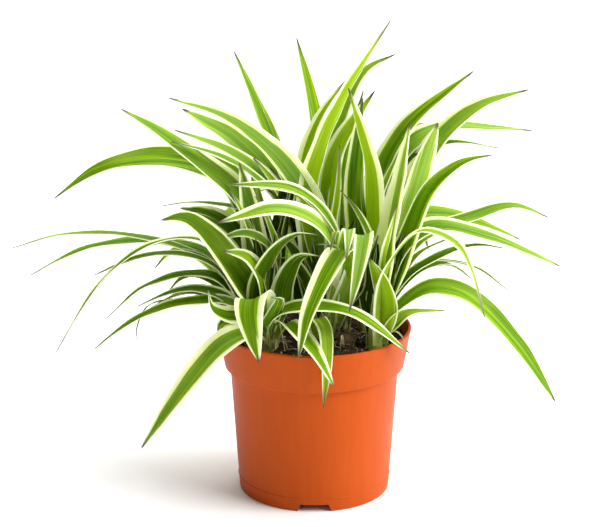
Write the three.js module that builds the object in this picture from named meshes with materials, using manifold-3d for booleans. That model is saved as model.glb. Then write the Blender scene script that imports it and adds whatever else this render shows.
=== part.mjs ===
// A spider plant in a 12 cm plastic nursery pot. Millimetres, +Z up.
// The origin is the middle of the pot's underside, on the surface it stands on.
// +X is the plant's right and -Y its front, where one notch of the pot's foot shows.
import * as THREE from 'three';
import { mergeVertices } from 'three/addons/utils/BufferGeometryUtils.js';
import Module from 'manifold-3d';

const wasm = await Module();
wasm.setup();

// The pot: a thin moulded wall, a deep band under the lip, and a foot with notches.
const POT_HEIGHT = 105.3;
const LIP_RADIUS = 60;
const BAND_HEIGHT = 25;
const BAND_FOOT_RADIUS = 55.8;
const BODY_TOP_RADIUS = 52.4;
const FOOT_RADIUS = 47;
const WALL = 1.4;
const LIP_ROLL = 1.1;
const FLOOR_LIFT = 4.7;
const FOOT_RING = 2.2;
const HUB_RADIUS = 14;
const LINE_HEIGHT = 8.5;
const LINE_RAISE = 0.35;
const NOTCH_COUNT = 3;
const NOTCH_TOP_WIDTH = 17;
const NOTCH_FOOT_WIDTH = 22;
const DRAIN_COUNT = 6;
const DRAIN_RADIUS = 4;
const DRAIN_RING = 30;
const POT_SIDES = 44;

// The soil, a plug that fills the pot to a little below the lip.
const GAP = 0.3;
const SOIL_EDGE = 96.6;
const SOIL_RISE = 2.2;
const SOIL_LUMP = 0.7;

// The crowns that the leaves grow from, each in a plain hole in the soil.
const CROWN_RADIUS = 8;
const CROWN_FOOT = 82;
const CROWN_SHOULDER = 99.5;
const CROWN_TOP = 118;
const CROWN_SIDES = 14;
const ROOT_HEIGHT = 100;
const ROOT_RING = 4.5;

// Every blade is one thin strap along its midrib, sunk into its crown.
const BLADE_THICKNESS = 0.8;
const TIP_HALF_WIDTH = 0.5;
const STATION_LENGTH = 28.4;

// Leaves of each crown: width, how late the blade tapers, twist in degrees, then points that the
// midrib runs through.
const SHOOTS = [
  { name: 'shoot_front_left', at: [-29, -21], leaves: [
    [19.6, 2.6, -22, [-37.8, -34, 111], [-54, -47, 109.6], [-72.7, -56, 92], [-103.5, -62, 48.5]],
    [12, 4, -14, [-49.7, -18, 123.8], [-68.2, -12, 124.2], [-92.4, -6, 118.2],
      [-114.6, -2, 106.6], [-137, 2, 88.5]],
    [6, 3, 0, [-57, 8, 114], [-84, 12, 117], [-103, 12, 114], [-111, 12, 99], [-111, 12, 91]],
    [17, 3, -30, [-45, -26, 118], [-54, -31, 121], [-62, -34, 127], [-64, -36, 139]],
    [13, 3, -20, [-44, -23, 110], [-51, -28, 116], [-56, -34, 116], [-58, -38, 110]],
    [24, 3, 15, [-34, -30, 120], [-34, -42, 133], [-37, -52, 138], [-38, -60, 132], [-33, -66, 104]],
    [18, 3.6, -20, [-34, -24, 129], [-32, -26, 144], [-23, -29, 162], [-10, -34, 173], [1, -38, 174]],
    [17, 3, -32, [-20, -18, 122], [-18, -21, 139], [-9, -28, 157], [4, -36, 160]],
    [18, 3, -45, [-31.8, -26, 135.9], [-34.7, -29, 149.4], [-41.7, -32, 159.1], [-54.6, -35, 163.1]],
    [11, 3, 0, [-28, -32, 114], [-24, -38, 125], [-21, -43, 135], [-26, -50, 139]],
    [14, 3, 15, [-26, -30, 115], [-16, -42, 129], [2, -53, 134], [23, -56, 131], [57, -38, 100]],
    [17, 3, -10, [-22, -26, 109], [-17, -34, 117], [-7, -55, 115], [4, -70, 104], [11, -75, 92]],
    [23, 3.2, -50, [-40, -24, 132], [-49.2, -26, 149.2], [-64.4, -29, 171.4], [-77.3, -33, 182.6],
      [-90.8, -38, 183]],
    [14, 4, -6, [-54, -10, 125], [-69, -5, 129.2], [-86, 0, 126.6], [-110, 6, 115]],
    [11, 4, -5, [-56, -8, 121], [-69, -2, 126], [-86, 5, 122], [-102, 10, 113]],
  ] },
  { name: 'shoot_back_left', at: [-27, 14], leaves: [
    [10, 4, 4, [-45.7, 14, 127.2], [-61.4, 10, 151.1], [-76.2, 6, 158.5], [-94.5, 2, 157.5],
      [-112, -3, 150.8], [-134.3, -9, 130.2], [-159, -16, 92]],
    [11, 3.4, 0, [-47.7, 18, 118.1], [-57.7, 20, 130], [-71.4, 21, 142.3], [-99.6, 26, 151.6],
      [-129.9, 30, 155], [-159.8, 33, 153.2], [-191, 36, 144]],
    [12, 4.5, -8, [-47.2, 22, 124], [-55.3, 24, 132.6], [-67.2, 26, 142.6], [-89.3, 31, 148],
      [-121.2, 36, 148], [-151, 39, 140.2], [-181, 42, 124]],
    [11, 4, -4, [-48, 12, 117], [-62, 9, 140], [-83, 5, 149], [-107, 1, 148.6], [-135, -2, 138]],
    [8, 3, 5, [-48, 30, 120], [-67, 34, 138], [-91, 39, 146], [-119, 44, 140]],
    [12, 4, -34, [-48.2, 33, 115.9], [-64.7, 38, 133], [-78.7, 41, 140.7], [-91, 44, 138.5],
      [-101.5, 46, 127.9]],
    [12, 4, -6, [-46, 14, 113], [-63, 17, 131], [-84, 20, 130.8], [-108, 23, 121.6], [-131, 26, 101]],
    [10, 4, -24, [-47.3, 20, 110.1], [-61.7, 25, 125.1], [-74.5, 29, 129.1], [-84.1, 31, 125.2],
      [-92.6, 33, 115.9]],
    [10, 4, 4, [-33, 28, 147], [-42.7, 33, 167.2], [-64.1, 37, 172.6], [-80, 40, 172.5], [-95.9, 42, 170]],
    [22, 3.4, -34, [-36, 20, 140], [-48.7, 20, 159.2], [-65.3, 20, 170.8], [-83.2, 20, 174.6]],
    [22, 4, -30, [-35.9, 30, 148.5], [-46.7, 42, 178], [-63.2, 50, 192], [-104.1, 58, 197.4],
      [-137.7, 62, 188.7], [-166.7, 64, 169]],
    [23, 3.4, -22, [-33, 22, 154], [-48.9, 23, 183.6], [-75.6, 26, 206.4], [-95.2, 28, 220.8],
      [-119, 30, 235]],
    [13, 3, -42, [-24.5, 0, 146], [-32, -6, 161], [-43, -12, 167.5], [-58, -18, 165.5]],
    [20, 3, -62, [-33, 12, 127], [-38, 11, 160], [-41, 12, 182], [-46, 14, 205]],
    [12, 3, -50, [-35, 4, 149], [-42, 2, 171], [-51, -2, 192]],
    [13, 3, -55, [-26, 4, 130], [-24, 2, 153], [-29, 2, 171], [-36, 2, 187]],
    [11, 3, -8, [-29, 30, 150], [-35, 40, 173], [-38, 46, 189], [-37, 48, 200]],
    [15, 3, 0, [-37, 34, 148], [-47, 62, 163], [-57, 92, 142], [-62, 112, 97]],
    [13, 3, 0, [-32, 34, 130], [-40, 56, 136], [-50, 80, 114], [-56, 92, 82]],
    [12, 3, 0, [-42.3, 26, 124.1], [-48.4, 44, 132.5], [-54.9, 62, 120.3], [-58.3, 76, 94.6]],
    [11, 3, 20, [-25, 28, 138], [-29, 37.5, 160], [-34, 42.5, 178.5]],
    [13, 3, -50, [-38, 22, 130], [-47, 26, 152], [-58, 31, 168], [-72, 36, 170]],
    [13, 3, 60, [-25, 22, 132], [-24, 22, 152], [-21, 21, 170], [-19, 20, 182]],
    [14, 3, 80, [-17, 18, 120], [-13, 18, 134], [-9, 18, 150]],
  ] },
  { name: 'shoot_front', at: [6, -2], leaves: [
    [18, 3, 0, [18, -18, 135], [20, -30, 155], [15, -41, 165], [-4, -69, 137], [-10, -74, 109]],
    [15, 3, 10, [24, -22, 144], [29, -34, 167], [29, -43, 175], [26, -55, 162], [20, -62, 134]],
    [14, 3, 0, [17, -14, 145], [19, -28, 168], [20, -42, 178], [18, -56, 164]],
    [15, 4, -48, [13, -14, 149], [9, -22, 167], [-4, -34, 184], [-24, -44, 192], [-57, -55, 186]],
    [14, 4, -30, [18.5, -8, 146], [12, -14, 168], [1, -20, 187], [-16, -26, 199], [-51, -32, 203]],
    [13, 3, 10, [17, -4, 147], [7, -9, 171], [-7, -13, 188], [-24, -16, 202]],
    [7, 3, 0, [34, -12, 149], [33, -16, 167], [25, -19, 184], [15, -22, 197]],
    [7, 3, 0, [14, -20, 151], [11, -28, 164], [1, -38, 168]],
    [10, 3, 0, [2, -24, 107], [1, -36, 121], [6, -52, 119], [7, -63, 104], [5, -66, 76]],
    [12, 3, 0, [33, -10, 131], [34, -14, 148], [38, -22, 169]],
    [8, 3, 20, [12, -10, 134], [13, -18, 159], [12, -32, 174], [9, -46, 167]],
    [12, 3, -50, [-4, 2, 128], [-12, 5, 150], [-23, 6, 163]],
    [12, 3, 20, [-2, -6, 126], [-8, -10, 142], [-14, -15, 152], [-24, -20, 154]],
    [13, 3, -50, [-4, 3, 112], [-10, 6, 126], [-15, 8, 142]],
  ] },
  { name: 'shoot_back', at: [8, 31], leaves: [
    [12, 4, -16, [-15, 30, 161], [-33, 28, 189], [-57, 25, 206], [-88, 23, 216]],
    [18, 2.8, -24, [-14, 36, 166], [-30, 38, 188.5], [-53.5, 40, 206], [-87, 42, 219]],
    [24, 5, -22, [-15, 48, 168], [-29.5, 55, 186.5], [-53, 64, 208.5], [-70, 69, 218], [-84, 72, 226]],
    [26, 3.2, 32, [-3, 20, 170], [-12.4, 13, 195.2], [-30.2, 6, 218], [-53.7, 1, 236.6], [-87, -4, 249]],
    [23, 3, 0, [-5, 42, 164], [-20.2, 50, 191.5], [-33, 57, 222.5], [-50.3, 62, 265]],
    [16, 3, 4, [4, 46, 163], [4, 53, 194], [0, 56, 227], [-11, 60, 274]],
    [23, 1.6, -25, [-2, 18, 161], [-3, 14, 186], [4, 11, 216], [21, 10, 254], [45, 10, 293]],
    [19, 2.8, 30, [4, 30, 161], [6.4, 34, 192], [18.2, 37, 231.6], [31.5, 38, 257.4], [49.5, 38, 267.5]],
    [16, 3, 0, [-5, 34, 160], [-7, 40, 194], [3, 44, 226], [20.5, 46, 251]],
    [19, 3.4, 40, [9, 26, 154], [9, 26, 178], [14, 28, 210], [37, 32, 246]],
    [10, 3.6, 0, [18, 48, 159], [22, 58, 202], [31, 62, 240]],
    [7, 3, 0, [10, 8, 159], [14, 3, 187], [15, -2, 220]],
    [12, 3, 0, [-5, 40, 160], [-15, 45, 176], [-28, 50, 193]],
    [16, 3, 0, [4, 52, 150], [-4, 84, 158], [-14, 118, 128], [-20, 140, 80]],
    [18, 3, 0, [14, 52, 158], [22, 88, 170], [34, 126, 146], [44, 152, 98]],
    [14, 3, 0, [10, 50, 170], [12, 76, 196], [6, 104, 196], [-4, 130, 160]],
    [15, 3, 0, [-4, 50, 156], [-26, 82, 170], [-50, 108, 150], [-66, 124, 104]],
    [12, 3, 0, [16, 48, 140], [30, 70, 142], [46, 92, 118], [56, 104, 84]],
    [15, 3, 0, [0, 44, 165], [-12, 58, 190], [-28, 76, 200], [-50, 92, 188]],
    [13, 3, -50, [0, 22, 135], [-6, 18, 160], [-12, 16, 182]],
    [12, 3, 0, [-8, 44, 132], [-26, 54, 152], [-46, 60, 156], [-64, 66, 144]],
    [15, 3, -30, [-4, 34, 142], [-14, 34, 168], [-26, 36, 188], [-38, 38, 202]],
  ] },
  { name: 'shoot_front_right', at: [38, -18], leaves: [
    [18, 3.4, 0, [39.2, -22, 109.1], [41.9, -25, 125.5], [39.1, -29, 140.7], [32.2, -32, 157.8]],
    [18, 1.2, 8, [40.6, -25, 132.5], [47, -31, 157.5], [63.5, -40, 176.8], [82.5, -46, 171.2],
      [91.8, -51, 156.2], [99.8, -55, 128.4]],
    [18, 3.4, 14, [44, -16, 117], [52.7, -11, 145.7], [60.3, -5, 168], [71.2, 2, 191.5],
      [89.8, 8, 206], [108, 11, 210.5]],
    [17, 6, 24, [45.3, -20, 113], [58.7, -25, 129.6], [71.7, -27, 137], [92.1, -29, 132.7],
      [120.7, -31, 104.6], [146.5, -33, 67]],
    [12, 3.6, 4, [47, -8, 104], [57, 2, 110.7], [81, 10, 111]],
    [12, 3, -5, [40, -22, 133], [43, -25, 163], [49, -26, 189]],
    [21, 3, 0, [42, -14, 132], [45, -11, 166], [51, -7, 198], [57, -4, 234]],
    [14, 4, -2, [46, -12, 122], [59, -9, 140], [80, -6, 152.3], [98, -3, 156.8], [115, 0, 154.8]],
    [14, 4.4, -6, [49, -6, 122], [65, -3, 140.6], [83, 0, 143.4], [97, 3, 134]],
    [19, 4.5, 14, [47, -8, 129], [56, -4, 157.8], [74, 0, 167.4], [108, 3, 159.6], [152, 8, 140.5]],
    [10, 3, -10, [51, 0, 131], [64, 2, 150], [85, 7, 160]],
  ] },
  { name: 'shoot_back_right', at: [34, 16], leaves: [
    [18, 3, 0, [34, 6, 135], [35.5, 3, 175], [33.5, 0, 207], [20, -4, 255]],
    [17, 3, 0, [28, 12, 149], [24, 10, 186], [26, 10, 222], [29, 10, 246]],
    [25, 3, 15, [36, 27, 156], [40.2, 30, 188.3], [56.2, 32, 222], [98, 38, 257]],
    [16, 3, 25, [36, 18, 147], [41, 18, 182], [53, 18, 213]],
    [19, 6, -62, [48, 12, 135], [58, 12, 169], [66, 13, 199], [75, 14, 230]],
    [25, 3.6, 14, [51.4, 24, 143], [59.8, 29, 177], [77, 35, 213], [102, 39, 234.6], [132.5, 42, 244.5]],
    [20, 4.5, 10, [48, 38, 165], [56, 47, 202], [82, 54, 217], [111, 59, 216], [138, 62, 214]],
    [15, 4.5, 2, [50, 34, 166], [57.6, 39, 199.3], [83, 45, 210], [117, 49, 205.6]],
    [15.5, 4.5, 12, [54, 20, 135], [68, 22, 155], [100, 26, 167.5], [125, 29, 173.4], [146, 30, 166]],
    [20, 4.5, 16, [49, 30, 145], [62, 37, 164], [83, 43, 164.5], [106, 48, 156.8], [132, 52, 145]],
    [11, 3.6, -10, [54, 26, 121], [69, 31, 135], [100, 36, 132], [124, 39, 115]],
    [16, 3, 0, [44, 34, 140], [54, 62, 150], [60, 90, 132], [62, 106, 98]],
    [15, 3, 0, [42, 36, 160], [52, 66, 178], [66, 98, 160], [78, 120, 118]],
    [12, 3, 0, [42, 40, 130], [46, 66, 142], [52, 94, 128], [57, 110, 98]],
    [14, 3, 0, [40, 28, 170], [50, 42, 202], [64, 58, 218], [86, 70, 214]],
    [12, 3, 10, [30, 22, 140], [28, 24, 168], [30, 26, 198]],
  ] },
];

function solid(geometry) {
  const bare = geometry.index ? geometry.toNonIndexed() : geometry.clone();
  for (const name of Object.keys(bare.attributes)) {
    if (name !== 'position') bare.deleteAttribute(name);
  }
  const merged = mergeVertices(bare, 1e-4);
  return new wasm.Manifold(new wasm.Mesh({
    numProp: 3,
    vertProperties: new Float32Array(merged.attributes.position.array),
    triVerts: new Uint32Array(merged.index.array),
  }));
}

function geometryOf(body) {
  const mesh = body.getMesh();
  const geometry = new THREE.BufferGeometry();
  geometry.setAttribute('position', new THREE.BufferAttribute(mesh.vertProperties, 3));
  geometry.setIndex(new THREE.BufferAttribute(mesh.triVerts, 1));
  geometry.computeVertexNormals();
  return geometry;
}

// A profile of [radius, height] turned round the Z axis.
function turned(profile, sides) {
  const points = profile.map(([r, z]) => new THREE.Vector2(r, z));
  return new THREE.LatheGeometry(points, sides).rotateX(Math.PI / 2);
}

// A round bar that stands on z = foot at (x, y).
function post(x, y, radius, foot, top, sides) {
  const bar = new THREE.CylinderGeometry(radius, radius, top - foot, sides).rotateX(Math.PI / 2);
  return bar.translate(x, y, (foot + top) / 2);
}

// Radii outside and inside the tapered wall.
const bandFoot = POT_HEIGHT - BAND_HEIGHT;
const bodyRadius = (z) => FOOT_RADIUS + (BODY_TOP_RADIUS - FOOT_RADIUS) * (z / bandFoot);
const innerFloor = FLOOR_LIFT + WALL;
const bandInner = BAND_FOOT_RADIUS - WALL;
const lipInner = LIP_RADIUS - 2 * LIP_ROLL;
const bodyInnerTop = BODY_TOP_RADIUS - WALL;
const bodyInnerFoot = bodyRadius(innerFloor) - WALL;

function potBody() {
  const lipZ = POT_HEIGHT - LIP_ROLL;
  const lip = [];
  for (let i = 0; i <= 4; i += 1) {
    const a = (Math.PI * i) / 4;
    lip.push([LIP_RADIUS - LIP_ROLL + LIP_ROLL * Math.cos(a), lipZ + LIP_ROLL * Math.sin(a)]);
  }
  const ringInner = FOOT_RADIUS - FOOT_RING;
  const profile = [
    [0, 0], [HUB_RADIUS, 0], [HUB_RADIUS, FLOOR_LIFT], [ringInner, FLOOR_LIFT], [ringInner, 0],
    [FOOT_RADIUS, 0],
    [bodyRadius(LINE_HEIGHT), LINE_HEIGHT - LINE_RAISE],
    [bodyRadius(LINE_HEIGHT) + LINE_RAISE, LINE_HEIGHT],
    [bodyRadius(LINE_HEIGHT), LINE_HEIGHT + LINE_RAISE],
    [BODY_TOP_RADIUS, bandFoot], [BAND_FOOT_RADIUS, bandFoot],
    ...lip,
    [bandInner, bandFoot + WALL], [bodyInnerTop, bandFoot - WALL / 2],
    [bodyInnerFoot, innerFloor], [HUB_RADIUS - WALL, innerFloor], [HUB_RADIUS - WALL, WALL], [0, WALL],
  ];
  let pot = solid(turned(profile, POT_SIDES));

  // Each notch is a trapezoid cut outwards through the foot ring.
  const outline = new THREE.Shape([
    new THREE.Vector2(-NOTCH_FOOT_WIDTH / 2, -1), new THREE.Vector2(NOTCH_FOOT_WIDTH / 2, -1),
    new THREE.Vector2(NOTCH_TOP_WIDTH / 2, FLOOR_LIFT), new THREE.Vector2(-NOTCH_TOP_WIDTH / 2, FLOOR_LIFT),
  ]);
  for (let i = 0; i < NOTCH_COUNT; i += 1) {
    const notch = new THREE.ExtrudeGeometry(outline, { depth: 14, bevelEnabled: false });
    notch.rotateX(Math.PI / 2).translate(0, -FOOT_RADIUS + 8, 0);
    pot = pot.subtract(solid(notch.rotateZ((2 * Math.PI * i) / NOTCH_COUNT)));
  }
  for (let i = 0; i < DRAIN_COUNT; i += 1) {
    const a = (2 * Math.PI * (i + 0.5)) / DRAIN_COUNT;
    const hole = post(DRAIN_RING * Math.cos(a), DRAIN_RING * Math.sin(a), DRAIN_RADIUS,
      FLOOR_LIFT - 1, innerFloor + 1, 16);
    pot = pot.subtract(solid(hole));
  }
  return pot;
}

// Gentle lumps over the soil, the same wherever they are asked for.
function lump(x, y) {
  return SOIL_LUMP * (Math.sin(0.31 * x + 1.3) * Math.cos(0.27 * y) + 0.6 * Math.sin(0.23 * x - 0.37 * y));
}

function soilBody() {
  const edge = lipInner - (lipInner - bandInner) * ((POT_HEIGHT - SOIL_EDGE) / BAND_HEIGHT) - GAP - 0.2;
  const profile = [
    [0, WALL + GAP], [HUB_RADIUS - WALL - GAP, WALL + GAP], [HUB_RADIUS - WALL - GAP, innerFloor + GAP],
    [bodyInnerFoot - GAP, innerFloor + GAP], [bodyInnerTop - GAP, bandFoot - WALL / 2 + GAP],
    [bandInner - GAP, bandFoot + WALL + GAP], [edge, SOIL_EDGE],
  ];
  for (const part of [0.85, 0.65, 0.45, 0.25]) {
    profile.push([edge * part, SOIL_EDGE + SOIL_RISE * (1 - part)]);
  }
  profile.push([0, SOIL_EDGE + SOIL_RISE]);
  const geometry = turned(profile, 40);
  const place = geometry.attributes.position;
  for (let i = 0; i < place.count; i += 1) {
    if (place.getZ(i) > SOIL_EDGE + 0.01) {
      place.setZ(i, place.getZ(i) + lump(place.getX(i), place.getY(i)));
    }
  }
  let soil = solid(geometry);
  for (const { at } of SHOOTS) {
    const hole = post(at[0], at[1], CROWN_RADIUS + GAP, CROWN_FOOT - GAP, POT_HEIGHT, CROWN_SIDES + 2);
    soil = soil.subtract(solid(hole));
  }
  return soil;
}

// Half the blade's width at a share t of its length: sheath, broad middle, long taper.
function halfWidth(width, taper, t) {
  const sheath = 0.5 + 0.5 * Math.sin((Math.PI / 2) * Math.min(1, t / 0.4));
  return (width / 2) * sheath * (1 - t ** taper) ** 0.9;
}

// One blade: a thin strap swept along the midrib, level across except for its twist.
function blade(at, [width, taper, twist, ...through]) {
  const first = new THREE.Vector3(...through[0]);
  const out = new THREE.Vector3(first.x - at[0], first.y - at[1], 0).normalize();
  const root = new THREE.Vector3(at[0], at[1], ROOT_HEIGHT).addScaledVector(out, ROOT_RING);
  const points = [root, ...through.map((p) => new THREE.Vector3(...p))];
  const midrib = new THREE.CatmullRomCurve3(points, false, 'centripetal');
  const tip = points.at(-1);
  const heading = new THREE.Vector3(tip.x - root.x, tip.y - root.y, 0).normalize();
  const level = new THREE.Vector3().crossVectors(heading, new THREE.Vector3(0, 0, 1));
  const steps = Math.max(4, Math.round(midrib.getLength() / STATION_LENGTH));

  // Ring order: left top, right top, right under, left under.
  const rings = [];
  for (let i = 0; i <= steps; i += 1) {
    const t = i / steps;
    const place = midrib.getPointAt(t);
    const along = midrib.getTangentAt(t);
    const across = level.clone().addScaledVector(along, -level.dot(along)).normalize();
    across.applyAxisAngle(along, THREE.MathUtils.degToRad(twist) * Math.min(1, 3 * t));
    const up = new THREE.Vector3().crossVectors(across, along).multiplyScalar(BLADE_THICKNESS / 2);
    across.multiplyScalar(Math.max(halfWidth(width, taper, t), TIP_HALF_WIDTH));
    for (const [side, face] of [[-1, 1], [1, 1], [1, -1], [-1, -1]]) {
      rings.push(place.clone().addScaledVector(across, side).addScaledVector(up, face));
    }
  }

  // The diagonals of the two broad faces lie one under the other, so the faces never cross.
  const faces = [0, 2, 1, 0, 3, 2];
  for (let i = 0; i < steps; i += 1) {
    const [a, b, c, d, e, f, g, h] = [0, 1, 2, 3, 4, 5, 6, 7].map((k) => 4 * i + k);
    faces.push(a, b, f, a, f, e, d, g, c, d, h, g, b, c, g, b, g, f, a, e, h, a, h, d);
  }
  const end = 4 * steps;
  faces.push(end, end + 1, end + 2, end, end + 2, end + 3);
  const geometry = new THREE.BufferGeometry().setFromPoints(rings);
  geometry.setIndex(faces);
  return geometry;
}

// One crown with its leaves fused into it; pockets that the leaves close off are filled.
function shoot({ at, leaves }) {
  const crown = turned([
    [0, CROWN_FOOT], [CROWN_RADIUS, CROWN_FOOT], [CROWN_RADIUS, CROWN_SHOULDER],
    [CROWN_RADIUS * 0.75, CROWN_TOP - 1], [0, CROWN_TOP],
  ], CROWN_SIDES).translate(at[0], at[1], 0);
  let body = solid(crown);
  for (const leaf of leaves) body = body.add(solid(blade(at, leaf)));
  const pieces = body.decompose().sort((p, q) => q.volume() - p.volume());
  return pieces[0];
}

const paint = (color, roughness) => new THREE.MeshStandardMaterial({ color, roughness, metalness: 0 });

const plant = new THREE.Group();
function place(name, body, material) {
  const mesh = new THREE.Mesh(geometryOf(body), material);
  mesh.name = name;
  plant.add(mesh);
}

place('pot', potBody(), paint('#d9602c', 0.5));
place('soil', soilBody(), paint('#33271e', 0.95));
for (const one of SHOOTS) place(one.name, shoot(one), paint('#7fae35', 0.45));

export default plant;
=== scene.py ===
import math
import random

import bpy
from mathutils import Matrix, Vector, noise


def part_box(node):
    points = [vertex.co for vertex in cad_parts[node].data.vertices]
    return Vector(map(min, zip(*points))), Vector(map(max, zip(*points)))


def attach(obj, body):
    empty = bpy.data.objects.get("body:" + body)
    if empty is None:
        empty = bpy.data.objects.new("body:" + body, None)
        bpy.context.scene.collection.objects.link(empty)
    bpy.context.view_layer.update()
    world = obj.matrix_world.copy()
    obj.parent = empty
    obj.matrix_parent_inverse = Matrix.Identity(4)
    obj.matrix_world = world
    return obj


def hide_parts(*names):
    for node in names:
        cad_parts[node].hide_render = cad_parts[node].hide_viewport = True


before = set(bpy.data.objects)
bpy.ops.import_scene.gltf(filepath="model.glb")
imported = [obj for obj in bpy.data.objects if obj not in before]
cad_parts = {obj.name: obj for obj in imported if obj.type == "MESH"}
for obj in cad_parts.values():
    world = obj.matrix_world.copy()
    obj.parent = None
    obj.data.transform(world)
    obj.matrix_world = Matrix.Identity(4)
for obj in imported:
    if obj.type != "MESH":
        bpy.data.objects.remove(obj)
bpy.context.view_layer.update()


# The pot: one thin shell of injection-moulded polypropylene, dyed orange right through, with
# a rolled lip, a deep band for gripping and stacking, and a foot ring notched for drainage.
MM = 0.001
_, pot_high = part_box("pot")
LIP_RADIUS = pot_high.x / MM
POT_HEIGHT = pot_high.z / MM
BAND_FOOT = POT_HEIGHT - 25
BAND_FOOT_RADIUS = LIP_RADIUS - 4.2
BODY_TOP_RADIUS = LIP_RADIUS - 7.6
FOOT_RADIUS = LIP_RADIUS - 13
WALL = 1.4
LIP_ROLL = 1.1
BAND_ROLL = 0.8
BODY_ROLL = 0.6
FOOT_ROLL = 0.4
RING_EDGE = 0.3
FLOOR_LIFT = 4.7
HUB_RADIUS = 14
FOOT_RING = 2.2
LINE_HEIGHT, LINE_ROLL, LINE_SINK, LINE_CLEAR = 8.5, 0.5, 0.15, 0.7
NOTCHES, NOTCH_WIDTHS, NOTCH_DEPTH = 3, (22, 17), 14
DRAINS, DRAIN_RING, DRAIN_RADIUS, DRAIN_DEPTH = 6, 30, 4, 6
POT_SIDES = 144
SHARP_ABOVE = 32


def turned(name, first, rings, sides):
    """A turned body: a filled disc, extruded and resized ring by ring along [radius, height]."""
    bpy.ops.object.select_all(action="DESELECT")
    radius, height = first
    bpy.ops.mesh.primitive_circle_add(vertices=sides, radius=radius * MM, fill_type="NGON")
    piece = bpy.context.object
    piece.name = name
    bpy.ops.object.mode_set(mode="EDIT")
    bpy.ops.mesh.select_all(action="SELECT")
    bpy.ops.transform.translate(value=(0, 0, height * MM))
    for next_radius, next_height in rings:
        rise = (0, 0, (next_height - height) * MM)
        bpy.ops.mesh.extrude_region_move(TRANSFORM_OT_translate={"value": rise})
        spread = next_radius / radius
        bpy.ops.transform.resize(value=(spread, spread, 1), center_override=(0, 0, 0))
        radius, height = next_radius, next_height
    bpy.ops.mesh.select_all(action="SELECT")
    bpy.ops.mesh.normals_make_consistent(inside=False)
    bpy.ops.object.mode_set(mode="OBJECT")
    return piece


def body_radius(height):
    """The body's outer radius at a height below the band."""
    return FOOT_RADIUS + (BODY_TOP_RADIUS - FOOT_RADIUS) * height / BAND_FOOT


def arc(radius, height, roll, start, end, steps):
    """Points of a round edge: roll is its radius, start and end are angles in degrees."""
    angles = [math.radians(start + (end - start) * i / steps) for i in range(steps + 1)]
    return [(radius + roll * math.cos(a), height + roll * math.sin(a)) for a in angles]


# The wall's outline, from under the floor, out, up, over the lip and back down the inside.
ring_inner = FOOT_RADIUS - FOOT_RING
inner_foot = body_radius(FLOOR_LIFT + WALL) - WALL
underside = [(HUB_RADIUS, FLOOR_LIFT), (ring_inner, FLOOR_LIFT)]
underside += [(ring_inner, RING_EDGE), (ring_inner + RING_EDGE, 0)]
foot = arc(FOOT_RADIUS - FOOT_ROLL, FOOT_ROLL, FOOT_ROLL, -90, 0, 4)
foot += [(body_radius(h), h) for h in (4, LINE_HEIGHT - LINE_CLEAR)]
mould_line = arc(body_radius(LINE_HEIGHT) - LINE_SINK, LINE_HEIGHT, LINE_ROLL, -70, 70, 6)
body = [(body_radius(h), h)
        for h in (LINE_HEIGHT + LINE_CLEAR, 20, 40, 60, BAND_FOOT - BODY_ROLL)]
body += arc(BODY_TOP_RADIUS + 0.55, BAND_FOOT - BODY_ROLL, BODY_ROLL, 180, 90, 3)
band = arc(BAND_FOOT_RADIUS - BAND_ROLL, BAND_FOOT + BAND_ROLL, BAND_ROLL, -90, 0, 4)
band += [(BAND_FOOT_RADIUS + 1.6, BAND_FOOT + 9), (LIP_RADIUS - 1.3, BAND_FOOT + 17.5)]
lip = arc(LIP_RADIUS - LIP_ROLL, POT_HEIGHT - LIP_ROLL, LIP_ROLL, -10, 190, 10)
inner_wall = [(LIP_RADIUS - 3.2, POT_HEIGHT - 6), (BAND_FOOT_RADIUS - WALL, BAND_FOOT + WALL)]
inner_wall += [(BODY_TOP_RADIUS - WALL, BAND_FOOT - 0.7), (inner_foot, FLOOR_LIFT + WALL)]
hub = [(HUB_RADIUS - WALL, FLOOR_LIFT + WALL), (HUB_RADIUS - WALL, WALL)]
pot = turned("nursery_pot", (HUB_RADIUS, 0),
             underside + foot + mould_line + body + band + lip + inner_wall + hub, POT_SIDES)


def pick(*pieces):
    """Selects these pieces and nothing else, the first of them as the active one."""
    bpy.ops.object.select_all(action="DESELECT")
    for piece in pieces:
        piece.select_set(True)
    bpy.context.view_layer.objects.active = pieces[0]


def cut(piece, cutter):
    """Cuts the cutter's shape out of the piece and removes the cutter."""
    pick(piece)
    bpy.ops.object.modifier_add(type="BOOLEAN")
    boolean = piece.modifiers[-1]
    boolean.operation, boolean.object, boolean.solver = "DIFFERENCE", cutter, "EXACT"
    bpy.ops.object.modifier_apply(modifier=boolean.name)
    bpy.data.objects.remove(cutter)


for number in range(NOTCHES):
    bpy.ops.object.select_all(action="DESELECT")
    bpy.ops.mesh.primitive_cube_add(size=1)
    notch = bpy.context.object
    bpy.ops.object.mode_set(mode="EDIT")
    bpy.ops.transform.resize(value=(NOTCH_WIDTHS[0] * MM, NOTCH_DEPTH * MM, (FLOOR_LIFT + 1) * MM))
    bpy.ops.transform.translate(value=(0, -FOOT_RADIUS * MM, (FLOOR_LIFT - 1) / 2 * MM))
    bpy.ops.mesh.select_all(action="DESELECT")
    bpy.ops.object.mode_set(mode="OBJECT")
    for vertex in notch.data.vertices:
        vertex.select = vertex.co.z > 0
    bpy.ops.object.mode_set(mode="EDIT")
    bpy.ops.transform.resize(value=(NOTCH_WIDTHS[1] / NOTCH_WIDTHS[0], 1, 1))
    bpy.ops.mesh.select_all(action="SELECT")
    bpy.ops.transform.rotate(
        value=math.radians(360 / NOTCHES * number), orient_axis="Z", center_override=(0, 0, 0))
    bpy.ops.object.mode_set(mode="OBJECT")
    cut(pot, notch)
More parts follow.
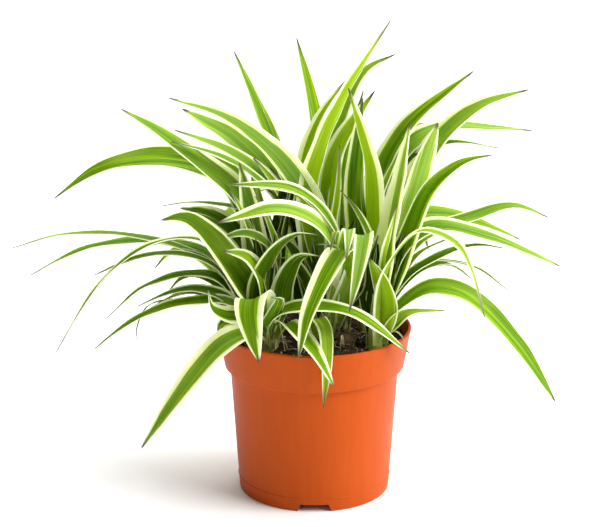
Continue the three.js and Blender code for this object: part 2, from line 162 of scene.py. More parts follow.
for number in range(DRAINS):
    angle = math.radians(360 / DRAINS * (number + 0.5))
    x, y = DRAIN_RING * MM * math.cos(angle), DRAIN_RING * MM * math.sin(angle)
    bpy.ops.object.select_all(action="DESELECT")
    bpy.ops.mesh.primitive_cylinder_add(
        radius=DRAIN_RADIUS * MM, depth=DRAIN_DEPTH * MM, vertices=24)
    drain = bpy.context.object
    bpy.ops.object.mode_set(mode="EDIT")
    bpy.ops.transform.translate(value=(x, y, FLOOR_LIFT * MM))
    bpy.ops.object.mode_set(mode="OBJECT")
    cut(pot, drain)
pick(pot)
bpy.ops.object.shade_smooth_by_angle(angle=math.radians(SHARP_ABOVE))


def linear(hex_colour):
    """A linear RGBA colour from an sRGB hex string."""
    parts = [int(hex_colour[i:i + 2], 16) / 255 for i in (1, 3, 5)]
    return tuple(p / 12.92 if p <= 0.04045 else ((p + 0.055) / 1.055) ** 2.4 for p in parts) + (1,)


def feed(material, node, links):
    """Sets sockets of a node, each to a value or by a link from another node's output."""
    for name, value in links.items():
        if isinstance(value, bpy.types.NodeSocket):
            material.node_tree.links.new(value, node.inputs[name])
        else:
            node.inputs[name].default_value = value


def add(material, kind, settings, links):
    """Adds one shader node with its settings and links."""
    node = material.node_tree.nodes.new("ShaderNode" + kind)
    for name, value in settings.items():
        setattr(node, name, value)
    feed(material, node, links)
    return node


def new_material(name):
    """A new material and its surface shader."""
    material = bpy.data.materials.new(name)
    material.use_nodes = True
    return material, material.node_tree.nodes["Principled BSDF"]


# Moulded polypropylene: dense even colour with a satin skin. Faint drag marks run up the
# wall where it left the mould, and dust from the compost dulls it in soft patches. The grain
# of the skin is drawn 1.2 mm coarse, a few times the real one, so that it shows.
polypropylene, skin = new_material("moulded_orange_polypropylene")
place = add(polypropylene, "TexCoord", {}, {}).outputs["Object"]
drag = add(polypropylene, "Mapping", {}, {
    "Vector": place, "Scale": (1 / (4 * MM), 1 / (4 * MM), 1 / (60 * MM))})
drag_marks = add(polypropylene, "TexNoise", {}, {
    "Vector": drag.outputs[0], "Scale": 1.0, "Detail": 3.0})
dust = add(polypropylene, "TexNoise", {}, {
    "Vector": place, "Scale": 1 / (35 * MM), "Detail": 4.0}).outputs[0]
tint = add(polypropylene, "Mix", {"data_type": "RGBA"}, {
    0: drag_marks.outputs[0], 6: linear("#AC4208"), 7: linear("#B84C0C")}).outputs[2]
dust_share = add(polypropylene, "MapRange", {}, {0: dust, 1: 0.5, 2: 0.85, 3: 0.0, 4: 0.06})
dusty = add(polypropylene, "Mix", {"data_type": "RGBA"}, {
    0: dust_share.outputs[0], 6: tint, 7: linear("#CC7A50")}).outputs[2]
satin = add(polypropylene, "MapRange", {}, {0: dust, 1: 0.3, 2: 0.7, 3: 0.46, 4: 0.58})
grain = add(polypropylene, "TexNoise", {}, {
    "Vector": place, "Scale": 1 / (1.2 * MM), "Detail": 2.0})
pebbled = add(polypropylene, "Bump", {}, {
    "Strength": 0.12, "Distance": 0.1 * MM, "Height": grain.outputs[0]})
feed(polypropylene, skin, {
    "Base Color": dusty, "Roughness": satin.outputs[0], "Normal": pebbled.outputs[0],
    "Specular IOR Level": 0.2, "Specular Tint": linear("#FFD8BC")})
pot.data.materials.append(polypropylene)
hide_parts("pot")
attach(pot, "root")


# The soil: peat compost filled to a finger's width below the lip and settled by watering.
# One firm plug in the pot, its top broken into crumbs.
SOIL_EDGE = 96.6
SOIL_RISE = 2.2
SOIL_RADIUS = LIP_RADIUS - 4.1
SOIL_PLAY = 0.3
SOIL_SIDES = 180
CRUMB_RING = 1.1
CRUMB_LIFT, CLOD_LIFT = 0.9, 0.8


def soil_height(x, y):
    """The height of the soil's top at a place: a gentle dome with lumps."""
    dome = SOIL_RISE * (1 - math.hypot(x, y) / SOIL_RADIUS)
    lumps = math.sin(0.31 * x + 1.3) * math.cos(0.27 * y) + 0.6 * math.sin(0.23 * x - 0.37 * y)
    return SOIL_EDGE + dome + 0.7 * lumps


hub_inside, soil_floor = HUB_RADIUS - WALL - SOIL_PLAY, FLOOR_LIFT + WALL + SOIL_PLAY
soil_profile = [(hub_inside, soil_floor), (inner_foot - 0.4, soil_floor)]
soil_profile += [(BODY_TOP_RADIUS - WALL - 0.4, BAND_FOOT - 0.4)]
soil_profile += [(BAND_FOOT_RADIUS - WALL - 0.4, BAND_FOOT + WALL + SOIL_PLAY)]
ring = SOIL_RADIUS
while ring > CRUMB_RING:
    soil_profile.append((ring, SOIL_EDGE))
    ring -= CRUMB_RING
soil = turned("peat_soil", (hub_inside, WALL + SOIL_PLAY), soil_profile, SOIL_SIDES)
for vertex in soil.data.vertices:
    x, y, z = vertex.co / MM
    if z > SOIL_EDGE - 0.01:
        crumb = CRUMB_LIFT * noise.fractal(Vector((x, y, 0)) * 0.55, 1.0, 2.0, 4)
        clod = CLOD_LIFT * noise.noise(Vector((x, y, 9)) * 0.16)
        vertex.co.z = (soil_height(x, y) + crumb + clod) * MM
pick(soil)
bpy.ops.object.shade_smooth()

# Moist peat: near black and matt, with brown crumbs and bark, and a few paler dry grains.
peat, earth = new_material("moist_peat_compost")
place = add(peat, "TexCoord", {}, {}).outputs["Object"]
crumbs = add(peat, "TexNoise", {}, {
    "Vector": place, "Scale": 1 / (2 * MM), "Detail": 6.0, "Roughness": 0.7}).outputs[0]
grains = add(peat, "TexVoronoi", {}, {"Vector": place, "Scale": 1 / (1.3 * MM)})
dark = add(peat, "Mix", {"data_type": "RGBA"}, {
    0: crumbs, 6: linear("#0B0806"), 7: linear("#4A3526")}).outputs[2]
pale = add(peat, "MapRange", {}, {0: grains.outputs["Color"], 1: 0.86, 2: 0.94, 3: 0.0, 4: 0.6})
speckled = add(peat, "Mix", {"data_type": "RGBA"}, {
    0: pale.outputs[0], 6: dark, 7: linear("#7A5F45")}).outputs[2]
rough = add(peat, "Bump", {}, {"Strength": 0.8, "Distance": 0.8 * MM, "Height": crumbs})
feed(peat, earth, {
    "Base Color": speckled, "Normal": rough.outputs[0], "Roughness": 0.95,
    "Specular IOR Level": 0.25})
soil.data.materials.append(peat)
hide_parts("soil")
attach(soil, "root")


# Loose bits on the soil: bark and peat crumbs, white perlite grains, and pale dry fibres.
# They lie where the watering left them, all over the soil but not in the crowns.
CRUMB_COUNT, CRUMB_SIZES = 420, (0.5, 1.5)
PERLITE_COUNT, PERLITE_SIZES = 46, (0.5, 1.1)
FIBRE_COUNT, FIBRE_RADIUS, FIBRE_STEPS = 90, 0.16, 6
CROWNS = [(-29, -21), (-27, 14), (6, -2), (8, 31), (38, -18), (34, 16)]
CLEAR_OF_GRAINS, CLEAR_OF_FIBRES = 8.5, 7


def scattered(rng, clear_of_crowns):
    """A random place on the soil in mm, outside the crowns."""
    while True:
        radius = (SOIL_RADIUS - 2.5) * math.sqrt(rng.random())
        angle = rng.uniform(0, 2 * math.pi)
        x, y = radius * math.cos(angle), radius * math.sin(angle)
        if all(math.hypot(x - a, y - b) > clear_of_crowns for a, b in CROWNS):
            return x, y


def joined(pieces, name):
    """The pieces as one piece with this name."""
    pick(*pieces)
    bpy.ops.object.join()
    whole = bpy.context.object
    whole.name = name
    return whole


def grains_on_soil(name, count, sizes, fineness, seed):
    """One piece of loose grains: squashed, dented spheres set into the soil's top."""
    rng = random.Random(seed)
    grains = []
    for _ in range(count):
        x, y = scattered(rng, CLEAR_OF_GRAINS)
        size = rng.uniform(*sizes)
        bpy.ops.object.select_all(action="DESELECT")
        bpy.ops.mesh.primitive_ico_sphere_add(subdivisions=fineness, radius=size * MM)
        grain = bpy.context.object
        stretch = Vector((rng.uniform(0.7, 1.5), rng.uniform(0.6, 1.1), rng.uniform(0.45, 0.8)))
        turn = rng.uniform(0, math.pi)
        for vertex in grain.data.vertices:
            dent = 1 + 0.35 * noise.noise(vertex.co / (size * MM) * 1.3 + Vector((x, y, 0)))
            a, b, c = vertex.co * dent * stretch
            vertex.co = Vector((
                a * math.cos(turn) - b * math.sin(turn) + x * MM,
                a * math.sin(turn) + b * math.cos(turn) + y * MM,
                c + (soil_height(x, y) + 0.35 * size) * MM))
        grains.append(grain)
    return joined(grains, name)


bark = grains_on_soil("bark_crumbs", CRUMB_COUNT, CRUMB_SIZES, 1, 11)
perlite = grains_on_soil("perlite_grains", PERLITE_COUNT, PERLITE_SIZES, 2, 12)

fibre_rng = random.Random(13)
strands = bpy.data.curves.new("dry_fibres", "CURVE")
strands.dimensions = "3D"
strands.bevel_depth = FIBRE_RADIUS * MM
strands.bevel_resolution = 1
for _ in range(FIBRE_COUNT):
    x, y = scattered(fibre_rng, CLEAR_OF_FIBRES)
    heading = fibre_rng.uniform(0, 2 * math.pi)
    reach = fibre_rng.uniform(4, 13)
    bend = fibre_rng.uniform(-1.3, 1.3)
    lift = fibre_rng.uniform(0.6, 3.2)
    spline = strands.splines.new("POLY")
    spline.points.add(FIBRE_STEPS)
    for i, point in enumerate(spline.points):
        share = i / FIBRE_STEPS
        angle = heading + bend * share
        a, b = x + reach * share * math.cos(angle), y + reach * share * math.sin(angle)
        inside = min(1, (SOIL_RADIUS - 1) / max(math.hypot(a, b), 1))
        a, b = a * inside, b * inside
        up = soil_height(a, b) + 0.3 + lift * math.sin(math.pi * share)
        point.co = (a * MM, b * MM, up * MM, 1)
        point.radius = 1.3 - 0.9 * share
fibres = bpy.data.objects.new("dry_fibres", strands)
bpy.context.collection.objects.link(fibres)
pick(fibres)
bpy.ops.object.convert(target="MESH")
fibres = bpy.context.object

# Bark is dull brown, perlite is chalk-white glass foam, and dry root fibre is straw-pale.
for piece, name, low, high, roughness in (
        (bark, "composted_bark", "#1C130C", "#5A4230", 0.9),
        (perlite, "expanded_perlite", "#B9B4A6", "#F1EEE4", 0.85),
        (fibres, "dry_root_fibre", "#8C7C5C", "#DCD2B4", 0.8)):
    matter, shader = new_material(name)
    place = add(matter, "TexCoord", {}, {}).outputs["Object"]
    mottle = add(matter, "TexNoise", {}, {"Vector": place, "Scale": 1 / (4 * MM), "Detail": 4.0})
    contrast = add(matter, "MapRange", {}, {0: mottle.outputs[0], 1: 0.32, 2: 0.68})
    colour = add(matter, "Mix", {"data_type": "RGBA"}, {
        0: contrast.outputs[0], 6: linear(low), 7: linear(high)}).outputs[2]
    feed(matter, shader, {"Base Color": colour, "Roughness": roughness})
    piece.data.materials.clear()
    piece.data.materials.append(matter)
    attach(piece, "root")


# The leaves: each crown is a rosette of thin strap leaves that sheathe one another at the
# base, rise, arch over and hang. A blade is folded along its midrib, most near the base.
LEAF_THICKNESS = 0.45
COLUMNS = 8
STATION, FEWEST_STATIONS = 4, 16
MIDRIB_STEPS = 24
ROOT_HEIGHT = 100
ROOT_RING = 4.5
TIP_HALF_WIDTH = 0.25
FOLDS = (0.7, 1.3)
RIPPLES, RIPPLE_LENGTHS = (0.15, 0.55), (26, 44)
LEAST_CREAM, MOST_CREAM = 0.06, 0.24
# The most painted sheen, a pale bluish highlight on the green, that a leaf gets at random.
MOST_PAINTED_SHEEN = 0.15
FULL_TURN = 6.28
UV_STEP = 60
CREASE_ANGLE = 50
# The marks a blade carries to its skin: distances from the edge and the midrib, the share of its
# length, a lightness that is partly painted light and shade, the strength of a painted sheen, and
# the width of its cream.
MARKS = ("from_edge", "from_midrib", "along", "tone_and_painted_light", "painted_sheen", "cream")

# Each leaf: width, how late it tapers, twist in degrees, then points along its midrib.
SHOOTS = [
    ("shoot_front_left", (-29, -21), [
        (19.6, 2.6, -22, (-37.8, -34, 111), (-54, -47, 109.6), (-72.7, -56, 92),
         (-103.5, -62, 48.5)),
        (12, 4, -14, (-49.7, -18, 123.8), (-68.2, -12, 124.2), (-92.4, -6, 118.2),
         (-114.6, -2, 106.6), (-137, 2, 88.5)),
        (6, 3, 0, (-57, 8, 114), (-84, 12, 117), (-103, 12, 114), (-111, 12, 99), (-111, 12, 91)),
        (17, 3, -30, (-45, -26, 118), (-54, -31, 121), (-62, -34, 127), (-64, -36, 139)),
        (13, 3, -20, (-44, -23, 110), (-51, -28, 116), (-56, -34, 116), (-58, -38, 110)),
        (24, 3, 15, (-34, -30, 120), (-34, -42, 133), (-37, -52, 138), (-38, -60, 132),
         (-33, -66, 104)),
        (18, 3.6, -20, (-34, -24, 129), (-32, -26, 144), (-23, -29, 162), (-10, -34, 173),
         (1, -38, 174)),
        (17, 3, -32, (-20, -18, 122), (-18, -21, 139), (-9, -28, 157), (4, -36, 160)),
        (18, 3, -45, (-31.8, -26, 135.9), (-34.7, -29, 149.4), (-41.7, -32, 159.1),
         (-54.6, -35, 163.1)),
        (11, 3, 0, (-28, -32, 114), (-24, -38, 125), (-21, -43, 135), (-26, -50, 139)),
        (14, 3, 15, (-26, -30, 115), (-16, -42, 129), (2, -53, 134), (23, -56, 131),
         (57, -38, 100)),
        (17, 3, -10, (-22, -26, 109), (-17, -34, 117), (-7, -55, 115), (4, -70, 104),
         (11, -75, 92)),
        (23, 3.2, -50, (-40, -24, 132), (-49.2, -26, 149.2), (-64.4, -29, 171.4),
         (-77.3, -33, 182.6), (-90.8, -38, 183)),
        (14, 4, -6, (-54, -10, 125), (-69, -5, 129.2), (-86, 0, 126.6), (-110, 6, 115)),
        (11, 4, -5, (-56, -8, 121), (-69, -2, 126), (-86, 5, 122), (-102, 10, 113)),
    ]),
    ("shoot_back_left", (-27, 14), [
        (10, 4, 4, (-45.7, 14, 127.2), (-61.4, 10, 151.1), (-76.2, 6, 158.5), (-94.5, 2, 157.5),
         (-112, -3, 150.8), (-134.3, -9, 130.2), (-159, -16, 92)),
        (11, 3.4, 0, (-47.7, 18, 118.1), (-57.7, 20, 130), (-71.4, 21, 142.3),
         (-99.6, 26, 151.6), (-129.9, 30, 155), (-159.8, 33, 153.2), (-191, 36, 144)),
        (12, 4.5, -8, (-47.2, 22, 124), (-55.3, 24, 132.6), (-67.2, 26, 142.6), (-89.3, 31, 148),
         (-121.2, 36, 148), (-151, 39, 140.2), (-181, 42, 124)),
        (11, 4, -4, (-48, 12, 117), (-62, 9, 140), (-83, 5, 149), (-107, 1, 148.6),
         (-135, -2, 138)),
        (8, 3, 5, (-48, 30, 120), (-67, 34, 138), (-91, 39, 146), (-119, 44, 140)),
        (12, 4, -34, (-48.2, 33, 115.9), (-64.7, 38, 133), (-78.7, 41, 140.7), (-91, 44, 138.5),
         (-101.5, 46, 127.9)),
        (12, 4, -6, (-46, 14, 113), (-63, 17, 131), (-84, 20, 130.8), (-108, 23, 121.6),
         (-131, 26, 101)),
        (10, 4, -24, (-47.3, 20, 110.1), (-61.7, 25, 125.1), (-74.5, 29, 129.1),
         (-84.1, 31, 125.2), (-92.6, 33, 115.9)),
        (10, 4, 4, (-33, 28, 147), (-42.7, 33, 167.2), (-64.1, 37, 172.6), (-80, 40, 172.5),
         (-95.9, 42, 170)),
        (22, 3.4, -34, (-36, 20, 140), (-48.7, 20, 159.2), (-65.3, 20, 170.8), (-83.2, 20, 174.6)),
        (22, 4, -30, (-35.9, 30, 148.5), (-46.7, 42, 178), (-63.2, 50, 192), (-104.1, 58, 197.4),
         (-137.7, 62, 188.7), (-166.7, 64, 169)),
        (23, 3.4, -22, (-33, 22, 154), (-48.9, 23, 183.6), (-75.6, 26, 206.4),
         (-95.2, 28, 220.8), (-119, 30, 235)),
        (13, 3, -42, (-24.5, 0, 146), (-32, -6, 161), (-43, -12, 167.5), (-58, -18, 165.5)),
        (20, 3, -62, (-33, 12, 127), (-38, 11, 160), (-41, 12, 182), (-46, 14, 205)),
        (12, 3, -50, (-35, 4, 149), (-42, 2, 171), (-51, -2, 192)),
        (13, 3, -55, (-26, 4, 130), (-24, 2, 153), (-29, 2, 171), (-36, 2, 187)),
        (11, 3, -8, (-29, 30, 150), (-35, 40, 173), (-38, 46, 189), (-37, 48, 200)),
        (15, 3, 0, (-37, 34, 148), (-47, 62, 163), (-57, 92, 142), (-62, 112, 97)),
        (13, 3, 0, (-32, 34, 130), (-40, 56, 136), (-50, 80, 114), (-56, 92, 82)),
        (12, 3, 0, (-42.3, 26, 124.1), (-48.4, 44, 132.5), (-54.9, 62, 120.3), (-58.3, 76, 94.6)),
        (11, 3, 20, (-25, 28, 138), (-29, 37.5, 160), (-34, 42.5, 178.5)),
        (13, 3, -50, (-38, 22, 130), (-47, 26, 152), (-58, 31, 168), (-72, 36, 170)),
        (13, 3, 60, (-25, 22, 132), (-24, 22, 152), (-21, 21, 170), (-19, 20, 182)),
        (14, 3, 80, (-17, 18, 120), (-13, 18, 134), (-9, 18, 150)),
    ]),
    ("shoot_front", (6, -2), [
        (18, 3, 0, (18, -18, 135), (20, -30, 155), (15, -41, 165), (-4, -69, 137), (-10, -74, 109)),
        (15, 3, 10, (24, -22, 144), (29, -34, 167), (29, -43, 175), (26, -55, 162), (20, -62, 134)),
        (14, 3, 0, (17, -14, 145), (19, -28, 168), (20, -42, 178), (18, -56, 164)),
        (15, 4, -48, (13, -14, 149), (9, -22, 167), (-4, -34, 184), (-24, -44, 192),
         (-57, -55, 186)),
        (14, 4, -30, (18.5, -8, 146), (12, -14, 168), (1, -20, 187), (-16, -26, 199),
         (-51, -32, 203)),
        (13, 3, 10, (17, -4, 147), (7, -9, 171), (-7, -13, 188), (-24, -16, 202)),
        (7, 3, 0, (34, -12, 149), (33, -16, 167), (25, -19, 184), (15, -22, 197)),
        (7, 3, 0, (14, -20, 151), (11, -28, 164), (1, -38, 168)),
        (10, 3, 0, (2, -24, 107), (1, -36, 121), (6, -52, 119), (7, -63, 104), (5, -66, 76)),
        (12, 3, 0, (33, -10, 131), (34, -14, 148), (38, -22, 169)),
        (8, 3, 20, (12, -10, 134), (13, -18, 159), (12, -32, 174), (9, -46, 167)),
        (12, 3, -50, (-4, 2, 128), (-12, 5, 150), (-23, 6, 163)),
        (12, 3, 20, (-2, -6, 126), (-8, -10, 142), (-14, -15, 152), (-24, -20, 154)),
        (13, 3, -50, (-4, 3, 112), (-10, 6, 126), (-15, 8, 142)),
    ]),
    ("shoot_back", (8, 31), [
        (12, 4, -16, (-15, 30, 161), (-33, 28, 189), (-57, 25, 206), (-88, 23, 216)),
        (18, 2.8, -24, (-14, 36, 166), (-30, 38, 188.5), (-53.5, 40, 206), (-87, 42, 219)),
        (24, 5, -22, (-15, 48, 168), (-29.5, 55, 186.5), (-53, 64, 208.5), (-70, 69, 218),
         (-84, 72, 226)),
        (26, 3.2, 32, (-3, 20, 170), (-12.4, 13, 195.2), (-30.2, 6, 218), (-53.7, 1, 236.6),
         (-87, -4, 249)),
        (23, 3, 0, (-5, 42, 164), (-20.2, 50, 191.5), (-33, 57, 222.5), (-50.3, 62, 265)),
        (16, 3, 4, (4, 46, 163), (4, 53, 194), (0, 56, 227), (-11, 60, 274)),
        (23, 1.6, -25, (-2, 18, 161), (-3, 14, 186), (4, 11, 216), (21, 10, 254), (45, 10, 293)),
        (19, 2.8, 30, (4, 30, 161), (6.4, 34, 192), (18.2, 37, 231.6), (31.5, 38, 257.4),
         (49.5, 38, 267.5)),
        (16, 3, 0, (-5, 34, 160), (-7, 40, 194), (3, 44, 226), (20.5, 46, 251)),
        (19, 3.4, 40, (9, 26, 154), (9, 26, 178), (14, 28, 210), (37, 32, 246)),
        (10, 3.6, 0, (18, 48, 159), (22, 58, 202), (31, 62, 240)),
        (7, 3, 0, (10, 8, 159), (14, 3, 187), (15, -2, 220)),
        (12, 3, 0, (-5, 40, 160), (-15, 45, 176), (-28, 50, 193)),
        (16, 3, 0, (4, 52, 150), (-4, 84, 158), (-14, 118, 128), (-20, 140, 80)),
        (18, 3, 0, (14, 52, 158), (22, 88, 170), (34, 126, 146), (44, 152, 98)),
        (14, 3, 0, (10, 50, 170), (12, 76, 196), (6, 104, 196), (-4, 130, 160)),
        (15, 3, 0, (-4, 50, 156), (-26, 82, 170), (-50, 108, 150), (-66, 124, 104)),
        (12, 3, 0, (16, 48, 140), (30, 70, 142), (46, 92, 118), (56, 104, 84)),
        (15, 3, 0, (0, 44, 165), (-12, 58, 190), (-28, 76, 200), (-50, 92, 188)),
        (13, 3, -50, (0, 22, 135), (-6, 18, 160), (-12, 16, 182)),
        (12, 3, 0, (-8, 44, 132), (-26, 54, 152), (-46, 60, 156), (-64, 66, 144)),
        (15, 3, -30, (-4, 34, 142), (-14, 34, 168), (-26, 36, 188), (-38, 38, 202)),
    ]),
    ("shoot_front_right", (38, -18), [
        (18, 3.4, 0, (39.2, -22, 109.1), (41.9, -25, 125.5), (39.1, -29, 140.7),
         (32.2, -32, 157.8)),
        (18, 1.2, 8, (40.6, -25, 132.5), (47, -31, 157.5), (63.5, -40, 176.8),
         (82.5, -46, 171.2), (91.8, -51, 156.2), (99.8, -55, 128.4)),
        (18, 3.4, 14, (44, -16, 117), (52.7, -11, 145.7), (60.3, -5, 168), (71.2, 2, 191.5),
         (89.8, 8, 206), (108, 11, 210.5)),
        (17, 6, 24, (45.3, -20, 113), (58.7, -25, 129.6), (71.7, -27, 137), (92.1, -29, 132.7),
         (120.7, -31, 104.6), (146.5, -33, 67)),
        (12, 3.6, 4, (47, -8, 104), (57, 2, 110.7), (81, 10, 111)),
        (12, 3, -5, (40, -22, 133), (43, -25, 163), (49, -26, 189)),
        (21, 3, 0, (42, -14, 132), (45, -11, 166), (51, -7, 198), (57, -4, 234)),
        (14, 4, -2, (46, -12, 122), (59, -9, 140), (80, -6, 152.3), (98, -3, 156.8),
         (115, 0, 154.8)),
        (14, 4.4, -6, (49, -6, 122), (65, -3, 140.6), (83, 0, 143.4), (97, 3, 134)),
        (19, 4.5, 14, (47, -8, 129), (56, -4, 157.8), (74, 0, 167.4), (108, 3, 159.6),
         (152, 8, 140.5)),
        (10, 3, -10, (51, 0, 131), (64, 2, 150), (85, 7, 160)),
    ]),
    ("shoot_back_right", (34, 16), [
        (18, 3, 0, (34, 6, 135), (35.5, 3, 175), (33.5, 0, 207), (20, -4, 255)),
        (17, 3, 0, (28, 12, 149), (24, 10, 186), (26, 10, 222), (29, 10, 246)),
        (25, 3, 15, (36, 27, 156), (40.2, 30, 188.3), (56.2, 32, 222), (98, 38, 257)),
        (16, 3, 25, (36, 18, 147), (41, 18, 182), (53, 18, 213)),
        (19, 6, -62, (48, 12, 135), (58, 12, 169), (66, 13, 199), (75, 14, 230)),
        (25, 3.6, 14, (51.4, 24, 143), (59.8, 29, 177), (77, 35, 213), (102, 39, 234.6),
         (132.5, 42, 244.5)),
        (20, 4.5, 10, (48, 38, 165), (56, 47, 202), (82, 54, 217), (111, 59, 216), (138, 62, 214)),
        (15, 4.5, 2, (50, 34, 166), (57.6, 39, 199.3), (83, 45, 210), (117, 49, 205.6)),
        (15.5, 4.5, 12, (54, 20, 135), (68, 22, 155), (100, 26, 167.5), (125, 29, 173.4),
         (146, 30, 166)),
        (20, 4.5, 16, (49, 30, 145), (62, 37, 164), (83, 43, 164.5), (106, 48, 156.8),
         (132, 52, 145)),
        (11, 3.6, -10, (54, 26, 121), (69, 31, 135), (100, 36, 132), (124, 39, 115)),
        (16, 3, 0, (44, 34, 140), (54, 62, 150), (60, 90, 132), (62, 106, 98)),
        (15, 3, 0, (42, 36, 160), (52, 66, 178), (66, 98, 160), (78, 120, 118)),
        (12, 3, 0, (42, 40, 130), (46, 66, 142), (52, 94, 128), (57, 110, 98)),
        (14, 3, 0, (40, 28, 170), (50, 42, 202), (64, 58, 218), (86, 70, 214)),
        (12, 3, 10, (30, 22, 140), (28, 24, 168), (30, 26, 198)),
    ]),
]


# The leaves that are seen best, by shoot and row: how light a green, partly the leaf's own tone
# and partly painted light and shade, below 0 for painted deep shade on shaded inner leaves, the
# share of the width that is cream on the left and on the right, looking from the root to the tip,
# and how strong a painted sheen, pale and bluish, lies on the green.
LOOKS = {
    "shoot_front_left": {
        0: (0.4, 0.16, 0.22, 0.13), 1: (0.45, 0.1, 0.12, 0), 2: (-0.5, 0, 0, 0),
        3: (0.3, 0.2, 0.2, 0), 4: (0.2, 0.2, 0.15, 0), 5: (0.45, 0.28, 0.12, 0),
        6: (0.05, 0.1, 0.12, 0), 7: (0.05, 0.08, 0.14, 0), 8: (0.45, 0.18, 0.2, 0),
        10: (0.42, 0.17, 0.15, 0), 11: (0.4, 0.2, 0.15, 0), 12: (0.05, 0.16, 0.08, 0),
        13: (0.1, 0.1, 0.15, 0), 14: (-0.1, 0.05, 0.05, 0),
    },
    "shoot_back_left": {
        0: (0.15, 0.14, 0.2, 0), 1: (0.35, 0.08, 0.08, 0.2), 2: (0.35, 0.08, 0.08, 0.2),
        7: (-0.2, 0.04, 0.04, 0), 9: (0.05, 0.1, 0.2, 0), 10: (0.28, 0.04, 0.04, 0),
        11: (0.3, 0.05, 0.14, 0.1), 13: (0.1, 0.2, 0.16, 0.13),
    },
    "shoot_front": {
        0: (0.35, 0.08, 0.3, 0), 1: (0.6, 0.16, 0.12, 0.3), 2: (0.6, 0.15, 0.15, 0.33),
        3: (0.6, 0.14, 0.25, 0.23), 4: (0.35, 0.12, 0.13, 0.1), 6: (0.3, 0.05, 0.2, 0),
        9: (-0.5, 0.1, 0.1, 0), 11: (-0.6, 0.08, 0.08, 0), 12: (-0.5, 0.1, 0.1, 0),
        13: (-0.6, 0.08, 0.08, 0),
    },
    "shoot_back": {
        0: (0.35, 0.15, 0.15, 0.2), 1: (0.55, 0.12, 0.15, 0.2), 2: (0.6, 0.18, 0.1, 0.36),
        3: (0.6, 0.2, 0.18, 0.6), 4: (0.4, 0.03, 0.05, 0), 5: (0.5, 0.03, 0.04, 0),
        6: (0.85, 0.06, 0.16, 0), 7: (0.6, 0.06, 0.14, 0.2), 8: (0.8, 0.3, 0.08, 0),
        9: (0.85, 0.18, 0.08, 0), 11: (0.8, 0.2, 0.2, 0),
    },
    "shoot_front_right": {
        0: (0.8, 0.06, 0.08, 0), 1: (0.7, 0.22, 0.15, 0.15), 2: (0.3, 0.06, 0.16, 0),
        3: (0.35, 0.06, 0.12, 0.05), 5: (1, 0.15, 0.2, 0), 6: (0.65, 0.32, 0.2, 0.33),
        7: (0.35, 0.1, 0.08, 0), 8: (-0.1, 0.02, 0.04, 0.2), 9: (0.4, 0.14, 0.06, 0.2),
    },
    "shoot_back_right": {
        0: (0.95, 0.26, 0.06, 0), 1: (0.2, 0.05, 0.2, 0), 2: (0.35, 0.18, 0.14, 0),
        4: (0.75, 0.18, 0.1, 0.39), 5: (0.6, 0.14, 0.08, 0.2), 6: (0.5, 0.1, 0.05, 0.25),
        8: (0.5, 0.08, 0.05, 0.2), 9: (0.45, 0.12, 0.05, 0.1), 10: (-0.2, 0.02, 0.04, 0.3),
        15: (0.9, 0.15, 0.15, 0),
    },
}


def midrib(points, count):
    """Even stations along a smooth curve through the points, with its length."""
    ends = [2 * points[0] - points[1]] + points + [2 * points[-1] - points[-2]]
    fine = []
    for i in range(1, len(ends) - 2):
        before, here, there, after = ends[i - 1:i + 3]
        a, b, c = [max((q - p).length ** 0.5, 1e-4)
                   for p, q in ((before, here), (here, there), (there, after))]
        leave = ((here - before) / a - (there - before) / (a + b) + (there - here) / b) * b
        arrive = ((there - here) / b - (after - here) / (b + c) + (after - there) / c) * b
        for step in range(MIDRIB_STEPS):
            s = step / MIDRIB_STEPS
            fine.append((2 * s ** 3 - 3 * s ** 2 + 1) * here + (s ** 3 - 2 * s ** 2 + s) * leave
                        + (3 * s ** 2 - 2 * s ** 3) * there + (s ** 3 - s ** 2) * arrive)
    fine.append(points[-1])
    reach = [0]
    for p, q in zip(fine, fine[1:]):
        reach.append(reach[-1] + (q - p).length)
    stations, k = [], 0
    for i in range(count):
        goal = reach[-1] * i / (count - 1)
        while k < len(fine) - 2 and reach[k + 1] < goal:
            k += 1
        share = (goal - reach[k]) / max(reach[k + 1] - reach[k], 1e-9)
        stations.append(fine[k].lerp(fine[k + 1], share))
    return stations, reach[-1]


def half_width(width, taper, t):
    """Half the blade's width at a share t of its length: sheath, broad middle, long taper."""
    sheath = 0.5 + 0.5 * math.sin(math.pi / 2 * min(1, t / 0.4))
    return max(width / 2 * sheath * max(0, 1 - t ** taper) ** 0.9, TIP_HALF_WIDTH)


